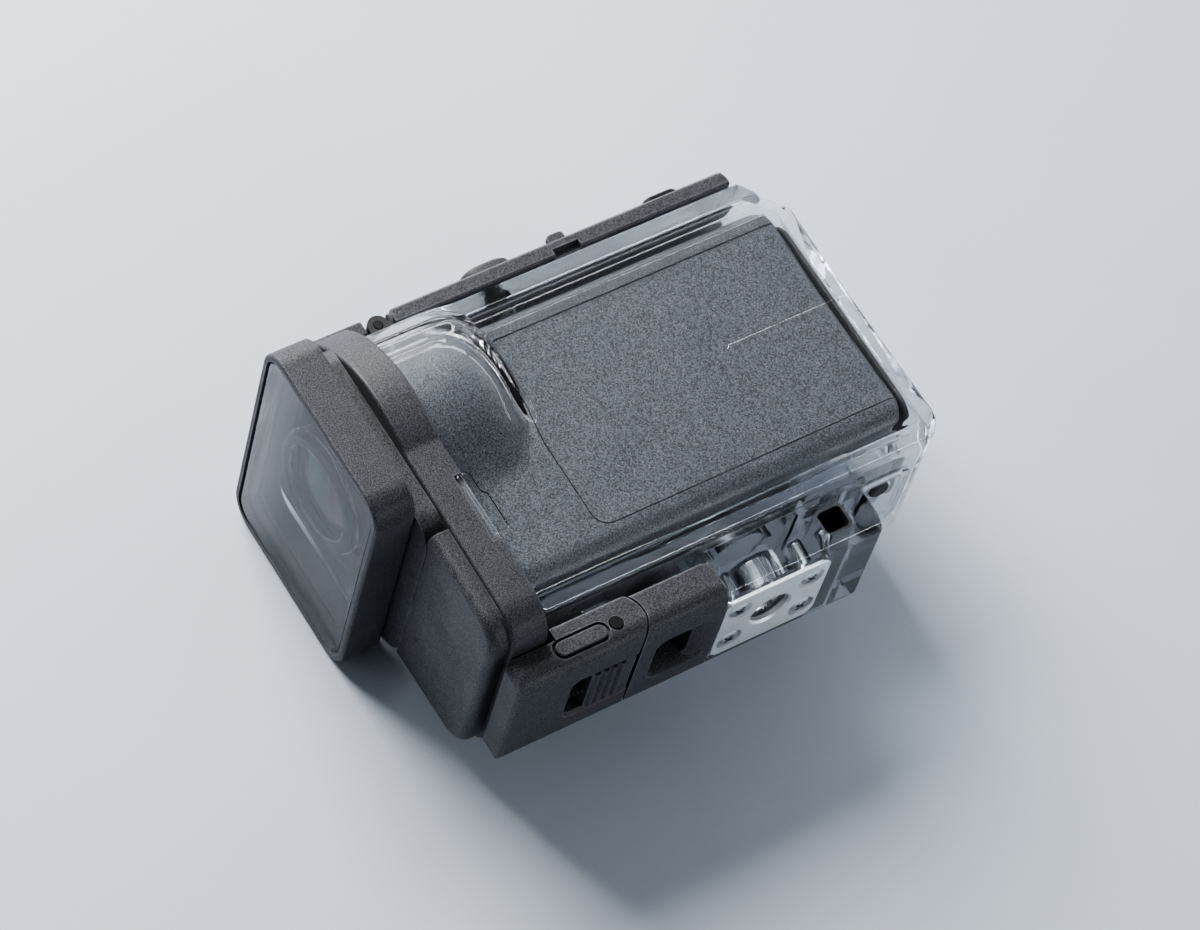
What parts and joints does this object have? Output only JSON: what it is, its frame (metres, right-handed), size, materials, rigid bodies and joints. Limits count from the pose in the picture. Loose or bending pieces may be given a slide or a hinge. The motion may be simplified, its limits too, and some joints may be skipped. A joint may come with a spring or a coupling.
{
  "type": "action camera",
  "caption": "Small action camera in a clear waterproof housing with a hinged front lid, side buckle, top shutter button and a tripod base.",
  "frame": {"origin": "centre of the bounding box's bottom face: the plane that the right side of the housing lies on", "axes": "the camera lies on its right side: +Z is the camera's own left, -Y is the way the lens looks, +Y its back, +X its underside with the tripod socket, -X its top with the shutter button"},
  "size_m": [0.0738, 0.098, 0.0504],
  "materials": {
    "clear_shell": "clear moulded polycarbonate, glossy, bright edges",
    "smoke_clear": "smoky clear plastic, glossy",
    "black_steel": "steel with a black finish",
    "graphite_plastic": "dark charcoal moulded plastic with a fine light speckle",
    "camera_plastic": "dark grey painted plastic with a fine metallic speckle",
    "window_glass": "flat coated window, dark grey with a black border line",
    "black_rubber": "black rubber and soft black plastic",
    "lens_black": "satin black lens trim",
    "lens_glass": "coated lens glass with green and magenta reflections",
    "steel": "stainless steel",
    "plate_metal": "pale satin metal plate",
    "circuit_board": "green solder mask",
    "battery_wrap": "dark blue battery case",
    "display": "dark glossy display and sensor",
    "foam": "dark foam pad"
  },
  "bodies": {
    "housing": {"housing_shell": "clear_shell", "base_block": "smoke_clear", "top_cover": "graphite_plastic", "status_fin": "graphite_plastic", "latch_block": "graphite_plastic", "control_panel": "graphite_plastic", "camera_case_left": "camera_plastic", "camera_case_right": "camera_plastic", "camera_side_panel": "camera_plastic", "camera_rear_door": "camera_plastic", "lcd_window": "window_glass", "pressure_plug": "black_rubber", "rec_button_oring": "black_rubber", "hinge_bracket": "black_rubber", "tally_window": "lens_black", "lens_barrel": "lens_black", "lens_ring": "lens_black", "memory_card": "lens_black", "speaker": "lens_black", "microphone": "lens_black", "front_lens": "lens_glass", "rear_lens_group": "lens_glass", "rec_button_spring": "steel", "tripod_socket": "steel", "plate_screw_1": "steel", "plate_screw_2": "steel", "plate_screw_3": "steel", "plate_screw_4": "steel", "menu_button_spring": "steel", "up_button_spring": "steel", "down_button_spring": "steel", "tripod_plate": "plate_metal", "hinge_pin": "black_steel", "buckle_pin": "black_steel", "camera_tripod_nut": "black_steel", "sensor_board": "circuit_board", "main_board": "circuit_board", "battery": "battery_wrap", "image_sensor": "display", "lcd_module": "display", "rear_cushion": "foam"},
    "lid": {"lid_frame": "graphite_plastic", "window_hood": "graphite_plastic", "front_window": "window_glass", "window_seal": "black_rubber", "main_gasket": "black_rubber", "lid_clip_left": "clear_shell", "lid_clip_right": "clear_shell"},
    "buckle": {"buckle": "graphite_plastic", "buckle_insert_left": "graphite_plastic", "buckle_insert_right": "graphite_plastic", "lock_spring": "black_steel"},
    "lock_slider": {"lock_slider": "graphite_plastic"},
    "rec_button": {"rec_button": "graphite_plastic", "rec_button_clip": "steel"},
    "camera_rec_button": {"camera_rec_button": "graphite_plastic"},
    "menu_button": {"menu_button": "graphite_plastic"},
    "up_button": {"up_button": "graphite_plastic"},
    "down_button": {"down_button": "graphite_plastic"}
  },
  "joints": [
    {"name": "lid_hinge", "type": "hinge", "parent": "housing", "child": "lid", "pos_m": [-0.0316, -0.02575, 0.0252], "axis": [0, 0, -1], "range_deg": [0, 100]},
    {"name": "buckle_hinge", "type": "hinge", "parent": "housing", "child": "buckle", "pos_m": [0.0327, -0.01895, 0.0252], "axis": [0, 0, 1], "range_deg": [0, 85]},
    {"name": "lock_slide", "type": "slide", "parent": "buckle", "child": "lock_slider", "axis": [0, -1, 0], "range_m": [0, 0.003], "stiffness_N_per_m": 200, "springref_m": -0.0005, "deforming": ["lock_spring"]},
    {"name": "rec_button_press", "type": "slide", "parent": "housing", "child": "rec_button", "axis": [1, 0, 0], "range_m": [0, 0.001], "stiffness_N_per_m": 400, "springref_m": -0.0005, "deforming": ["rec_button_spring"]},
    {"name": "camera_rec_press", "type": "slide", "parent": "housing", "child": "camera_rec_button", "axis": [1, 0, 0], "range_m": [0, 0.001]},
    {"name": "menu_button_press", "type": "slide", "parent": "housing", "child": "menu_button", "axis": [0, 0, 1], "range_m": [0, 0.001], "stiffness_N_per_m": 300, "springref_m": -0.0005, "deforming": ["menu_button_spring"]},
    {"name": "up_button_press", "type": "slide", "parent": "housing", "child": "up_button", "axis": [0, 0, 1], "range_m": [0, 0.001], "stiffness_N_per_m": 300, "springref_m": -0.0005, "deforming": ["up_button_spring"]},
    {"name": "down_button_press", "type": "slide", "parent": "housing", "child": "down_button", "axis": [0, 0, 1], "range_m": [0, 0.001], "stiffness_N_per_m": 300, "springref_m": -0.0005, "deforming": ["down_button_spring"]}
  ],
  "couplings": [
    {"joint": "camera_rec_press", "follows": "rec_button_press", "ratio": 1}
  ]
}
